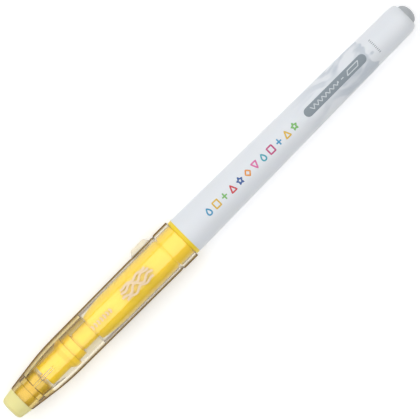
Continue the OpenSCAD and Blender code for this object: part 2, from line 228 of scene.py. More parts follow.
def clearPlastic(name, finish):
    # polished styrene-acrylic, moulded clear with a warm smoke tint: bends light like thick glass and mirrors softly;
    # painted shade makes it olive-brown where it is met edge on and darker on the +Y flank of the nose, and a pale
    # diffuse share paints a highlight on the lug; lamps reach what is behind it, thinned by the tint
    material, tree = newMaterial(name)
    place = addNode(tree, "ShaderNodeTexCoord")
    ripple = addNode(tree, "ShaderNodeTexNoise", {"Scale": 1 / (finish["ripple"] * mm), "Detail": 1},
                     {"Vector": place.outputs["Object"]})
    bump = addNode(tree, "ShaderNodeBump", {"Strength": finish["bump"], "Distance": 0.02 * mm},
                   {"Height": ripple.outputs["Fac"]})
    dull = addNode(tree, "ShaderNodeMapRange", {"To Min": finish["roughness"], "To Max": finish["roughness"] * 2},
                   {"Value": ripple.outputs["Fac"]})
    slope = addNode(tree, "ShaderNodeLayerWeight", {"Blend": 0.5})
    apart = addNode(tree, "ShaderNodeSeparateXYZ", links={0: place.outputs["Object"]})
    flat = addNode(tree, "ShaderNodeSeparateXYZ", links={0: place.outputs["Normal"]})
    # the painted edge shade belongs to surfaces turned about the axis, and fades out on faces that look along it
    endFace = addNode(tree, "ShaderNodeMath", {"operation": "ABSOLUTE"}, {0: flat.outputs[0]})
    roundSide = addNode(tree, "ShaderNodeMapRange",
                        {"From Min": finish["roundSide"][0], "From Max": finish["roundSide"][1],
                         "To Min": 1.0, "To Max": 0.0}, {"Value": endFace.outputs[0]})
    # edge: the share of the olive-brown painted shade, which rises where a surface is met edge on
    edge = addNode(tree, "ShaderNodeMapRange", {"From Min": finish["edgeShadeFrom"], "From Max": finish["edgeShadeTo"],
                                                "interpolation_type": "SMOOTHSTEP"},
                   {"Value": slope.outputs["Facing"]})
    # places along the pen: the nose ahead of the bore's step, and in it the solid block round the eraser's stem
    ahead = addNode(tree, "ShaderNodeMapRange",
                    {"From Min": finish["nose"][0] * mm, "From Max": finish["nose"][1] * mm},
                    {"Value": apart.outputs[0]})
    block = addNode(tree, "ShaderNodeMapRange", {"From Min": finish["blockEnd"] * mm,
                                                 "From Max": (finish["blockEnd"] - finish["blockFade"]) * mm,
                                                 "interpolation_type": "SMOOTHSTEP"}, {"Value": apart.outputs[0]})
    hollow = addNode(tree, "ShaderNodeMath", {"operation": "SUBTRACT"}, {0: ahead.outputs[0], 1: block.outputs[0]})
    # a pale strip along the -Y flank of the hollow nose keeps most of the painted edge shade off, so that flank is
    # painted lighter
    paleTop = addNode(tree, "ShaderNodeMapRange",
                      {"From Min": finish["paleTop"][0] * mm, "From Max": finish["paleTop"][1] * mm,
                       "interpolation_type": "SMOOTHSTEP"}, {"Value": apart.outputs[1]})
    paleLow = addNode(tree, "ShaderNodeMapRange",
                      {"From Min": finish["paleLow"][0] * mm, "From Max": finish["paleLow"][1] * mm,
                       "To Max": finish["paleShare"]}, {"Value": apart.outputs[1]})
    pale = addNode(tree, "ShaderNodeMath", {"operation": "MULTIPLY"}, {0: paleTop.outputs[0], 1: paleLow.outputs[0]})
    paleAhead = addNode(tree, "ShaderNodeMath", {"operation": "MULTIPLY"}, {0: pale.outputs[0], 1: hollow.outputs[0]})
    kept = addNode(tree, "ShaderNodeMath", {"operation": "SUBTRACT", 0: 1.0}, {1: paleAhead.outputs[0]})
    # the lug takes no painted edge shade: its share is 1 inside a box round it
    lugX = addNode(tree, "ShaderNodeMath", {"operation": "COMPARE", 1: finish["lugMiddle"] * mm,
                                            2: finish["lugReach"][0] * mm},
                   {0: apart.outputs[0]})
    lugZ = addNode(tree, "ShaderNodeMath", {"operation": "COMPARE", 1: 0.0, 2: finish["lugReach"][1] * mm},
                   {0: apart.outputs[2]})
    lugY = addNode(tree, "ShaderNodeMapRange",
                   {"From Min": finish["lugRise"][0] * mm, "From Max": finish["lugRise"][1] * mm},
                   {"Value": apart.outputs[1]})
    lugFlat = addNode(tree, "ShaderNodeMath", {"operation": "MULTIPLY"}, {0: lugX.outputs[0], 1: lugZ.outputs[0]})
    onLug = addNode(tree, "ShaderNodeMath", {"operation": "MULTIPLY"}, {0: lugFlat.outputs[0], 1: lugY.outputs[0]})
    offLug = addNode(tree, "ShaderNodeMath", {"operation": "SUBTRACT", 0: 1.0}, {1: onLug.outputs[0]})
    edgeShadeAllowed = addNode(tree, "ShaderNodeMath", {"operation": "MULTIPLY"}, {0: kept.outputs[0], 1: offLug.outputs[0]})
    edgeShadeShare = addNode(tree, "ShaderNodeMath", {"operation": "MULTIPLY"},
                          {0: edgeShadeAllowed.outputs[0], 1: roundSide.outputs[0]})
    # the block is solid, so its painted edge shade starts nearer to its middle than that of the thin wall
    blockShadeFacing = addNode(tree, "ShaderNodeMapRange",
                         {"From Min": finish["blockShadeFacing"][0], "From Max": finish["blockShadeFacing"][1],
                          "To Max": finish["blockShadeShare"]}, {"Value": slope.outputs["Facing"]})
    blockEdgeShade = addNode(tree, "ShaderNodeMath", {"operation": "MULTIPLY"},
                        {0: block.outputs[0], 1: blockShadeFacing.outputs[0]})
    deeperEdgeShade = addNode(tree, "ShaderNodeMath", {"operation": "MAXIMUM"}, {0: edge.outputs[0], 1: blockEdgeShade.outputs[0]})
    paintedEdgeShade = addNode(tree, "ShaderNodeMath", {"operation": "MULTIPLY"},
                       {0: deeperEdgeShade.outputs[0], 1: edgeShadeShare.outputs[0]})
    body = addNode(tree, "ShaderNodeMix", {"data_type": "RGBA"}, {0: block.outputs[0]})
    body.inputs[6].default_value = linearColor(finish["color"])
    body.inputs[7].default_value = linearColor(finish["blockColor"])
    # painted shade: a darker greyish-yellow tint on the +Y flank of the nose
    shadedFlank = addNode(tree, "ShaderNodeMapRange",
                    {"From Min": finish["shadedFlank"][0] * mm, "From Max": finish["shadedFlank"][1] * mm,
                     "interpolation_type": "SMOOTHSTEP"}, {"Value": apart.outputs[1]})
    flankShade = addNode(tree, "ShaderNodeMath", {"operation": "MULTIPLY"}, {0: shadedFlank.outputs[0], 1: ahead.outputs[0]})
    flankShaded = addNode(tree, "ShaderNodeMix", {"data_type": "RGBA"}, {0: flankShade.outputs[0], 6: body.outputs[2]})
    flankShaded.inputs[7].default_value = linearColor(finish["flankShadeColor"])
    edgeShaded = addNode(tree, "ShaderNodeMix", {"data_type": "RGBA"}, {0: paintedEdgeShade.outputs[0], 6: flankShaded.outputs[2]})
    edgeShaded.inputs[7].default_value = linearColor(finish["edgeShadeColor"])
    # faces square to the axis are amber
    endOn = addNode(tree, "ShaderNodeMapRange",
                    {"From Min": finish["endFace"][0], "From Max": finish["endFace"][1],
                     "To Max": finish["endShare"]}, {"Value": endFace.outputs[0]})
    ended = addNode(tree, "ShaderNodeMix", {"data_type": "RGBA"}, {0: endOn.outputs[0], 6: edgeShaded.outputs[2]})
    ended.inputs[7].default_value = linearColor(finish["endColor"])
    shader = addNode(tree, "ShaderNodeBsdfPrincipled",
                     {"IOR": finish["ior"], "Transmission Weight": 1.0, "Specular IOR Level": finish["specular"]},
                     {"Base Color": ended.outputs[2], "Roughness": dull.outputs[0], "Normal": bump.outputs[0]})
    # painted rim shade: a dark olive diffuse mixed in where turned surfaces are met edge on
    rimShade = addNode(tree, "ShaderNodeMapRange", {"From Min": finish["rimShadeFrom"], "From Max": finish["rimShadeTo"],
                                               "To Max": finish["rimShadeShare"], "interpolation_type": "SMOOTHSTEP"},
                  {"Value": slope.outputs["Facing"]})
    # the dark olive diffuse of the painted rim shade
    darkTone = addNode(tree, "ShaderNodeBsdfDiffuse", {"Color": linearColor(finish["rimShadeColor"])})
    rimShadeSide = addNode(tree, "ShaderNodeMath", {"operation": "MULTIPLY"}, {0: rimShade.outputs[0], 1: edgeShadeShare.outputs[0]})
    rimShaded = addNode(tree, "ShaderNodeMixShader", {}, {0: rimShadeSide.outputs[0], 1: shader.outputs[0],
                                                       2: darkTone.outputs[0]})
    # painted highlight: half of the lug's surface is a pale diffuse, which keeps it light
    lugHighlight = addNode(tree, "ShaderNodeBsdfDiffuse", {"Color": linearColor(finish["lugHighlightColor"])})
    lugHighlightPart = addNode(tree, "ShaderNodeMath", {"operation": "MULTIPLY", 1: finish["lugHighlightShare"]},
                        {0: onLug.outputs[0]})
    lugHighlighted = addNode(tree, "ShaderNodeMixShader", {}, {0: lugHighlightPart.outputs[0], 1: rimShaded.outputs[0],
                                                       2: lugHighlight.outputs[0]})
    lampRay = addNode(tree, "ShaderNodeLightPath")
    passing = addNode(tree, "ShaderNodeBsdfTransparent", {"Color": linearColor(finish["lampColor"])})
    withLamps = addNode(tree, "ShaderNodeMixShader", {}, {0: lampRay.outputs["Is Shadow Ray"], 1: lugHighlighted.outputs[0],
                                                          2: passing.outputs[0]})
    absorb = addNode(tree, "ShaderNodeVolumeAbsorption",
                     {"Color": linearColor(finish["depthColor"]), "Density": finish["depthPerMm"] / mm})
    addNode(tree, "ShaderNodeOutputMaterial", links={"Surface": withLamps.outputs[0], "Volume": absorb.outputs[0]})
    return material


# the cap: clear shell with its lug, the eraser and the inner cap

capShell = {
    "bore": 4.8, "step": -31.7, "seat": 4.22, "noseWall": 1.1, "bulkhead": (-53.6, -51.9), "lip": 2.32,
    "socket": 2.62, "endRadius": 3.78, "cone": 7.4, "blend": 8.0, "shoulder": 5.33, "bandLength": 4.8,
    "bandHeight": 0.15, "lugSpan": (-12.4, -11.15, -7.25, -6.0), "lugWidth": 2.2, "finWidth": 0.6,
    "finInner": 3.12, "finSpan": (-51.9, -42.15), "edge": 0.12,
    "lugSide": 0.25, "lugCurve": (0.65, 0.35), "finEase": (1.5, 5.5), "rowLength": 0.5,
    "finish": {"color": "#FFFFFF", "ior": 1.55, "specular": 0.3, "roughness": 0.03, "ripple": 2.5, "bump": 0.05,
               "lampColor": "#F2F0E4", "depthColor": "#F6E6A0", "depthPerMm": 0.2,
               "edgeShadeColor": "#6A4C08", "edgeShadeFrom": 0.34, "edgeShadeTo": 0.67, "roundSide": (0.3, 0.8),
               "rimShadeColor": "#7C5C10", "rimShadeFrom": 0.46, "rimShadeTo": 0.78, "rimShadeShare": 0.92,
               "endColor": "#E3B04C", "endFace": (0.75, 0.95), "endShare": 0.7, "nose": (-31.4, -31.8),
               "blockColor": "#F2DF98", "blockEnd": -48.7, "blockFade": 0.8, "blockShadeFacing": (0.1, 0.5),
               "blockShadeShare": 0.62, "paleTop": (-2.0, -2.8), "paleLow": (-4.55, -4.2), "paleShare": 0.85,
               "flankShadeColor": "#DDCF9C", "shadedFlank": (2.3, 3.3), "lugHighlightColor": "#F4F1E6", "lugHighlightShare": 0.5,
               "lugMiddle": -9.2, "lugReach": (3.5, 1.35), "lugRise": (5.3, 5.55)},
}


def capOutline(v):
    # (x, r) of the outside from the eraser end to the mouth: a cone, a parabola that eases its slope to the draft of
    # the body, the body, a V groove and the mouth band
    body = bandRadius - v["bandHeight"]
    blendEnd = capFront + v["cone"] + v["blend"]
    draft = (body - v["shoulder"]) / (capMouth - v["bandLength"] - blendEnd)
    steep = (v["shoulder"] - v["endRadius"] - draft * v["blend"] / 2) / (v["blend"] / 2 + v["cone"])
    d = np.linspace(v["blend"], 0, 17)
    ease = v["shoulder"] - draft * d - (steep - draft) * d ** 2 / (2 * v["blend"])
    groove = capMouth - v["bandLength"]
    h = v["bandHeight"]
    blendPart = [(blendEnd - s, r, 0) for s, r in zip(d, ease)]
    return [(capFront, v["endRadius"], v["edge"]), *blendPart,
            (groove - 4 * h, body, h), (groove - 3 * h, body - 0.8 * h, h / 2), (groove - h, body - 0.8 * h, h / 2),
            (groove + h, bandRadius, h), (capMouth, bandRadius, v["edge"] / 2)], draft, steep


def capNoseBore(v, x, draft, steep):
    # radius of the inside next to the bulkhead: the outline less the wall
    blendEnd = capFront + v["cone"] + v["blend"]
    d = np.clip(blendEnd - x, 0, v["blend"])
    ease = v["shoulder"] - draft * d - (steep - draft) * d ** 2 / (2 * v["blend"])
    cone = v["endRadius"] + steep * (x - capFront)
    return np.minimum(v["seat"], np.where(x < capFront + v["cone"], cone, ease) - v["noseWall"])


def makeCapShell(v):
    # a closed profile of (x, r) turned about the axis; the outside's y then grows by the lug's height times a ramp in x
    # times a ramp in z, and the inside's y and z shrink by (r - pull) / r along the four fins
    outside, draft, steep = capOutline(v)
    noseX = np.linspace(capFront + v["cone"] + v["blend"], v["bulkhead"][1], 12)
    nose = [(x, float(capNoseBore(v, x, draft, steep)), 0) for x in noseX]
    inside = [(capMouth, v["bore"] + 0.08, 0.04), (capMouth - 0.16, v["bore"], 0.06), (v["step"], v["bore"], 0.06),
              (v["step"], v["seat"], 0.06), *nose[:-1], (nose[-1][0], nose[-1][1], 0.25),
              (v["bulkhead"][1], v["lip"], 0.1), (v["bulkhead"][0], v["lip"], 0.1),
              (v["bulkhead"][0], v["socket"], 0.05), (capFront, v["socket"], 0.05)]
    corners = outside + inside
    seam = 3  # the profile starts on a corner of the blend that has no round
    corners = corners[seam:] + corners[:seam] + [outside[seam]]
    profile = filled(roundedProfile(corners), v["rowLength"])
    # outside rows by the lug get three more between each two
    mid = (profile[:-1] + profile[1:]) / 2
    byLug = (mid[:, 1] > v["bore"] + 0.4) & (mid[:, 0] > v["lugSpan"][0] - 0.6) & (mid[:, 0] < v["lugSpan"][3] + 0.4)
    extra = (profile[:-1] + (profile[1:] - profile[:-1]) * np.array([0.25, 0.5, 0.75])[:, None, None])[:, byLug]
    spots = np.repeat(np.nonzero(byLug)[0] + 1, 3)
    profile = np.insert(profile, spots, extra.transpose(1, 0, 2).reshape(-1, 2), axis=0)[:-1]
    # columns stand close together at the fins and the lug, where the walls are steep
    fins = np.arange(4) * np.pi / 2
    fine = np.concatenate([np.linspace(-0.135, 0.135, 15), [-0.19, -0.16, 0.16, 0.19]])
    lugFine = np.linspace(-0.235, 0.235, 45)
    angles = np.concatenate([evenAngles(120), *(fins[:, None] + fine), lugFine])
    angles = np.unique(np.round(np.mod(angles, 2 * np.pi), 5))
    points = turnedGrid(profile, angles)
    x, r = profile[:, :1], profile[:, 1:]
    y, z = points[..., 1], points[..., 2]
    # the lug: the outside is lifted straight along Y by a ramp along the pen times a ramp across it
    lo, topLo, topHi, hi = v["lugSpan"]
    along = smoothStep((x - lo) / (topLo - lo)) * smoothStep((hi - x) / (hi - topHi))
    curve, straight = v["lugCurve"]
    along = curve * along + straight * np.clip(np.minimum((x - lo) / (topLo - lo), (hi - x) / (hi - topHi)), 0, 1)
    across = smoothStep((v["lugWidth"] / 2 - np.abs(z)) / v["lugSide"]) * (y > 0)
    body = v["shoulder"] + draft * (np.mean(v["lugSpan"]) - (capFront + v["cone"] + v["blend"]))
    outer = (r > v["bore"] + 0.4)
    points[..., 1] += outer * along * across * (lugTop - body)
    points[..., 1] = np.minimum(points[..., 1], lugTop)  # the draft would carry the lug's rear past the CAD box
    # the fins: the inside is drawn in to the fins' edge in four narrow strips
    finLo, finHi = v["finSpan"]
    easeFrom, easeLength = v["finEase"]
    inNose = (x > finLo - 0.02) * (r < v["seat"] + 0.05) * (r > v["finInner"])
    strip = smoothStep((finHi - easeFrom - x) / easeLength) * inNose
    depth = np.maximum(r - v["finInner"], 0)
    side = np.minimum(np.abs(y), np.abs(z))
    pull = strip * depth * smoothStep((v["finWidth"] / 2 + 0.1 - side) / 0.2)
    scale = (r - pull) / r
    points[..., 1] *= scale
    points[..., 2] *= scale
    makePiece("clearCapShell", [gridFaces(points, closeAlong=True)], "cap",
              clearPlastic("mouldedClearStyrene", v["finish"]), ["cap_shell"])


makeCapShell(capShell)
print("cap shell made")


eraser = {
    "tipRadius": 3.1, "edge": 1.0, "stem": 2.6, "groove": 2.3, "head": 2.58, "lip": capShell["bulkhead"],
    "color": "#F4EBA2", "worn": "#E6DA96", "wornDepth": 1.2, "cloud": 2.5, "grain": 0.35, "bump": 0.35,
    "roughness": 0.62,
}


def eraserElastomer(v):
    # firm thermoplastic elastomer, moulded: pale, slightly waxy, dull where it has rubbed on paper
    material, tree = newMaterial("paleYellowElastomer")
    place = addNode(tree, "ShaderNodeTexCoord")
    grain = addNode(tree, "ShaderNodeTexNoise", {"Scale": 1 / (v["grain"] * mm), "Detail": 4, "Roughness": 0.6},
                    {"Vector": place.outputs["Object"]})
    cloud = addNode(tree, "ShaderNodeTexNoise", {"Scale": 1 / (v["cloud"] * mm), "Detail": 2},
                    {"Vector": place.outputs["Object"]})
    apart = addNode(tree, "ShaderNodeSeparateXYZ", links={0: place.outputs["Object"]})
    rub = addNode(tree, "ShaderNodeMapRange",
                  {"From Min": (eraserEnd + v["wornDepth"]) * mm, "From Max": eraserEnd * mm},
                  {"Value": apart.outputs[0]})
    marks = addNode(tree, "ShaderNodeMath", {"operation": "MULTIPLY"}, {0: rub.outputs[0], 1: cloud.outputs["Fac"]})
    shade = addNode(tree, "ShaderNodeMix", {"data_type": "RGBA"}, {0: marks.outputs[0]})
    shade.inputs[6].default_value = linearColor(v["color"])
    shade.inputs[7].default_value = linearColor(v["worn"])
    dull = addNode(tree, "ShaderNodeMapRange", {"To Min": v["roughness"] - 0.08, "To Max": v["roughness"] + 0.1},
                   {"Value": grain.outputs["Fac"]})
    bump = addNode(tree, "ShaderNodeBump", {"Strength": v["bump"], "Distance": 0.04 * mm},
                   {"Height": grain.outputs["Fac"]})
    shader = addNode(tree, "ShaderNodeBsdfPrincipled",
                     {"IOR": 1.5, "Subsurface Weight": 0.25, "Subsurface Radius": (1, 0.9, 0.5),
                      "Subsurface Scale": 1.2 * mm},
                     {"Base Color": shade.outputs[2], "Roughness": dull.outputs[0], "Normal": bump.outputs[0]})
    addNode(tree, "ShaderNodeOutputMaterial", links={"Surface": shader.outputs[0]})
    return material


def makeEraser(v):
    # an open profile turned about the axis: a rounded tip, a cone that widens to the cap's end, and inside it a stem
    # with a groove for the bulkhead's lip and a rounded head
    lipOut, lipIn = v["lip"]
    tip = v["tipRadius"]
    corners = [(eraserEnd, 0.3, 0), (eraserEnd, tip, v["edge"]), (capFront, eraserRadius, 0.12),
               (capFront, v["stem"], 0.05), (lipOut, v["stem"], 0.06), (lipOut, v["groove"], 0.06),
               (lipIn, v["groove"], 0.06), (lipIn, v["head"], 0.1), (stemEnd, v["head"], 0.6), (stemEnd, 0.3, 0)]
    makePiece("rubbingEraser", turned(corners, steps=8, longest=1.0), "cap", eraserElastomer(v),
              ["eraser"])


makeEraser(eraser)

yellowFinish = {"color": "#FEDF3C", "shade": "#FAD834", "drift": 9.0, "ripple": 0.5, "bump": 0.12,
                "roughness": 0.34, "scatter": 0.12}
yellowPlastic = mouldedPlastic("yellowPolypropylene", yellowFinish)[0]

innerCap = {
    "cup": 3.12, "skirt": 3.37, "bore": 2.33, "room": 2.2, "cavityEnd": -47.3, "front": -48.2, "nub": 0.9,
    "neckEnd": -42.2, "flange": (-41.85, -39.35), "cone": 0.3,
}


def makeInnerCap(v):
    # an open profile turned about the axis: nub, cup, a flange whose front half is a cone, and skirt outside, then the
    # bore for the neck and the room for the nib inside
    lo, hi = v["flange"]
    corners = [(nubEnd, v["nub"], 0.12), (v["front"], v["nub"], 0.08), (v["front"], v["cup"], 0.3),
               (lo, v["cup"], 0.05), (lo, v["cup"] + v["cone"], 0.08), ((lo + hi) / 2, flangeRadius, 0.12),
               (hi, flangeRadius, 0.12), (hi, v["skirt"], 0.08), (innerMouth, v["skirt"], 0.15),
               (innerMouth, v["bore"] + 0.2, 0.08), (innerMouth - 0.3, v["bore"], 0.1), (v["neckEnd"], v["bore"], 0.05),
               (v["neckEnd"] - 0.2, v["room"], 0.05), (v["cavityEnd"], v["room"], 0.3), (v["cavityEnd"], 0.2, 0)]
    makePiece("yellowInnerCap", turned([(nubEnd, 0.2, 0)] + corners, longest=1.5), "cap",
              yellowPlastic, ["inner_cap"])


makeInnerCap(innerCap)
print("eraser and inner cap made")

# the pen: front section, nib, barrel and tail plug

section = {
    "neck": 2.32, "throat": 2.57, "neckBack": -36.3, "nose": -31.4, "noseLength": 8.0, "noseDrop": 1.0,
    "grip": 4.6, "bead": 0.1, "beadAt": -4.8, "spigot": 4.35, "chamber": 3.35, "chamberFront": -28.6,
    "nibBore": 1.62, "gap": 0.05, "edge": 0.12, "seam": -15.0,
}


def makeSection(v):
    # a closed profile turned about the axis: neck, nose, grip with a bead, collar and spigot outside, then the chamber
    # and the nib's bore inside; the nose is a parabola that meets the grip smoothly, and the seam is on the plain grip
    d = np.linspace(1, 0, 15)
    nose = [(v["nose"] + v["noseLength"] * (1 - s), v["grip"] - v["noseDrop"] * s * s, 0) for s in d]
    nose[0] = (nose[0][0], nose[0][1], 0.25)
    at, h = v["beadAt"], v["bead"]
    corners = [(neckEnd, v["nibBore"], 0.1), (neckEnd, v["neck"], 0.3), (v["neckBack"], v["neck"], 0.05),
               (v["neckBack"], v["throat"], 0.08), (v["nose"], v["throat"], 0.15), *nose,
               (at - 4 * h, v["grip"], h), (at - 2 * h, v["grip"] + h, h), (at, v["grip"] + h, h),
               (at + 2 * h, v["grip"], h), (v["gap"], v["grip"], 0.1), (v["gap"], collarRadius, v["edge"]),
               (barrelFront, collarRadius, 0.05), (barrelFront, v["spigot"], 0.05), (spigotEnd, v["spigot"], 0.25),
               (spigotEnd, v["chamber"], 0.05), (v["chamberFront"], v["chamber"], 0.1),
               (v["chamberFront"], v["nibBore"], 0.05)]
    cut = next(i for i, c in enumerate(corners) if c[0] > v["seam"] and c[1] >= v["grip"])
    corners = [(v["seam"], v["grip"], 0)] + corners[cut:] + corners[:cut]
    makePiece("yellowFrontSection", turned(corners, sides=160, closed=True, longest=1.5), "pen",
              yellowPlastic, ["front_section"])


makeSection(section)

nib = {"chiselLength": 2.2, "chiselEdge": 0.7, "slant": 1.3, "round": 0.12, "fibre": 0.09,
       "color": "#F9D334", "darkTone": "#F2BE1C"}


def bondedFelt(v):
    # acrylic fibres bonded into a rod and soaked with ink: fine streaks along the rod, very matt, wet and darker in
    # the valleys between fibres; fibres are drawn three times their real 0.03 mm so that they show
    material, tree = newMaterial("bondedInkFelt")
    place = addNode(tree, "ShaderNodeTexCoord")
    streak = addNode(tree, "ShaderNodeMapping", {"Scale": (0.08, 1, 1)}, {"Vector": place.outputs["Object"]})
    fibre = addNode(tree, "ShaderNodeTexNoise", {"Scale": 1 / (v["fibre"] * mm), "Detail": 3, "Roughness": 0.7},
                    {"Vector": streak.outputs[0]})
    shade = addNode(tree, "ShaderNodeMix", {"data_type": "RGBA"}, {0: fibre.outputs["Fac"]})
    shade.inputs[6].default_value = linearColor(v["darkTone"])
    shade.inputs[7].default_value = linearColor(v["color"])
    bump = addNode(tree, "ShaderNodeBump", {"Strength": 0.6, "Distance": 0.05 * mm}, {"Height": fibre.outputs["Fac"]})
    dull = addNode(tree, "ShaderNodeMapRange", {"To Min": 0.7, "To Max": 0.95}, {"Value": fibre.outputs["Fac"]})
    shader = addNode(tree, "ShaderNodeBsdfPrincipled", {"IOR": 1.45, "Sheen Weight": 0.2},
                     {"Base Color": shade.outputs[2], "Roughness": dull.outputs[0], "Normal": bump.outputs[0]})
    addNode(tree, "ShaderNodeOutputMaterial", links={"Surface": shader.outputs[0]})
    return material


inkFelt = bondedFelt(nib)


def makeNib(v):
    # a round rod whose end rows are squeezed along Y to the writing edge and cut back along Z by the slant
    length = nibEnd - nibTip
    s = np.concatenate([np.linspace(0, v["chiselLength"], 16), np.linspace(v["chiselLength"], length, 12)[1:]])
    angles = evenAngles(64)
    squeeze = np.minimum(1, v["chiselEdge"] / 2 / nibRadius
                         + (1 - v["chiselEdge"] / 2 / nibRadius) * s / v["chiselLength"])
    halfThick = nibRadius * squeeze
    edgeRound = smoothStep(s / v["round"] * 0.5 + 0.5)
    y = np.clip(nibRadius * np.cos(angles)[None, :], -halfThick[:, None], halfThick[:, None])
    z = nibRadius * np.sin(angles)[None, :] * np.ones_like(halfThick)[:, None]
    y, z = y * edgeRound[:, None], z * (0.6 + 0.4 * edgeRound[:, None])
    lean = v["slant"] * (z / nibRadius + 1) / 2 * np.clip(1 - s / (2 * v["chiselLength"]), 0, 1)[:, None]
    points = np.stack([nibTip + s[:, None] + lean, y, z], -1)
    makePiece("chiselNib", [gridFaces(points)], "pen", inkFelt, ["nib"])


makeNib(nib)

barrel = {
    "rearRadius": 4.15, "roundLength": 2.7, "roundDrop": 0.95, "seat": 4.37, "seatEnd": 9.5, "bore": 4.1,
    "boreEnd": 3.37, "endWall": 3.0, "plugBore": 2.47, "edge": 0.1, "seam": 20,
    "finish": {"color": "#EAEDF1", "shade": "#E6EAEF", "drift": 14.0, "ripple": 0.7, "bump": 0.08,
               "roughness": 0.3, "scatter": 0.06},
    "marble": {"color": "#CBD2DA", "bend": 5.0, "from": 0.42, "to": 0.62, "start": 40.0, "full": 56.0, "stop": 62.0,
               "wander": 3.0, "wanderReach": -7.0, "stopFade": 0.5},
}


def barrelSkin(x):
    # radius of the barrel's outside: one long cone
    v = barrel
    return barrelRadius + (v["rearRadius"] - barrelRadius) * (x - barrelFront) / (barrelEnd - barrelFront)


def marbledPlastic(v):
    # the barrel's white polypropylene with a pale blue-grey marbling printed round its rear: noise bends the stripes
    # of a wave, they fade in from the front and stop at a wavy edge
    material, tree, shader, shade = mouldedPlastic("whitePolypropylene", v["finish"])
    m = v["marble"]
    place = addNode(tree, "ShaderNodeTexCoord")
    stretch = addNode(tree, "ShaderNodeMapping", {"Scale": (0.45, 1, 1), "Rotation": (0, 0.2, 0.25)},
                      {"Vector": place.outputs["Object"]})
    bend = addNode(tree, "ShaderNodeTexNoise", {"Scale": 1 / (m["bend"] * mm), "Detail": 2, "Distortion": 1.2},
                   {"Vector": stretch.outputs[0]})
    band = addNode(tree, "ShaderNodeMapRange", {"From Min": m["from"], "From Max": m["to"],
                                                "interpolation_type": "SMOOTHSTEP"}, {"Value": bend.outputs["Fac"]})
    apart = addNode(tree, "ShaderNodeSeparateXYZ", links={0: place.outputs["Object"]})
    fadeIn = addNode(tree, "ShaderNodeMapRange", {"From Min": m["start"] * mm, "From Max": m["full"] * mm},
                     {"Value": apart.outputs[0]})
    wander = addNode(tree, "ShaderNodeTexNoise", {"Scale": 1 / (m["wander"] * mm), "Detail": 1},
                     {"Vector": place.outputs["Object"]})
    shifted = addNode(tree, "ShaderNodeMath", {"operation": "MULTIPLY_ADD", 1: m["wanderReach"] * mm},
                      {0: wander.outputs["Fac"], 2: apart.outputs[0]})
    stop = addNode(tree, "ShaderNodeMapRange",
                   {"From Min": m["stop"] * mm, "From Max": (m["stop"] - m["stopFade"]) * mm},
                   {"Value": shifted.outputs[0]})
    within = addNode(tree, "ShaderNodeMath", {"operation": "MULTIPLY"}, {0: fadeIn.outputs[0], 1: stop.outputs[0]})
    amount = addNode(tree, "ShaderNodeMath", {"operation": "MULTIPLY"}, {0: within.outputs[0], 1: band.outputs[0]})
    printed = addNode(tree, "ShaderNodeMix", {"data_type": "RGBA"}, {0: amount.outputs[0], 6: shade.outputs[2]})
    printed.inputs[7].default_value = linearColor(m["color"])
    tree.links.new(printed.outputs[2], shader.inputs["Base Color"])
    return material


def makeBarrel(v):
    # a closed profile turned about the axis: one long cone outside that ends in a quarter of an ellipse, then inside
    # it the plug's bore, the tapered main bore and the spigot's seat
    roundFrom = barrelEnd - v["roundLength"]
    t = np.linspace(0, np.pi / 2, 13)
    skin = barrelSkin(roundFrom)
    rounded = [(roundFrom + v["roundLength"] * math.sin(a), skin - v["roundDrop"] * (1 - math.cos(a)), 0) for a in t]
    wall = barrelEnd - v["endWall"]
    corners = [(v["seam"], barrelSkin(v["seam"]), 0), *rounded, (barrelEnd, v["plugBore"], 0.1),
               (wall, v["plugBore"], 0.05), (wall, v["boreEnd"], 0.1), (v["seatEnd"], v["bore"], 0.05),
               (v["seatEnd"], v["seat"], 0.05), (barrelFront, v["seat"], 0.05), (barrelFront, barrelRadius, v["edge"])]
    makePiece("whiteBarrel", turned(corners, sides=192, closed=True, longest=2.0), "pen",
              marbledPlastic(v), ["barrel"])


makeBarrel(barrel)

tailPlug = {"stem": 2.45, "finish": {"color": "#BFC3C6", "shade": "#B8BCC0", "drift": 3.0, "ripple": 0.35,
                                    "bump": 0.15, "roughness": 0.46, "scatter": 0.0}}


def makeTailPlug(v):
    # the head is half an ellipse in profile, and the stem goes down the barrel's end bore
    t = np.linspace(0.04, np.pi / 2, 16)
    height = plugTop - barrelEnd
    dome = [(barrelEnd + height * math.cos(a), plugRadius * math.sin(a), 0) for a in t]
    corners = [*dome, (barrelEnd, plugRadius, 0), (barrelEnd, v["stem"], 0.05), (plugFront, v["stem"], 0.2),
               (plugFront, 0.2, 0)]
    makePiece("greyTailPlug", turned(corners, sides=96), "pen",
              mouldedPlastic("greyPolypropylene", v["finish"])[0], ["tail_plug"])


makeTailPlug(tailPlug)

reservoirFilm = {"color": "#EDE7CE", "shade": "#E4D9B0", "drift": 5.0, "ripple": 0.9, "roughness": 0.16, "bump": 0.3}


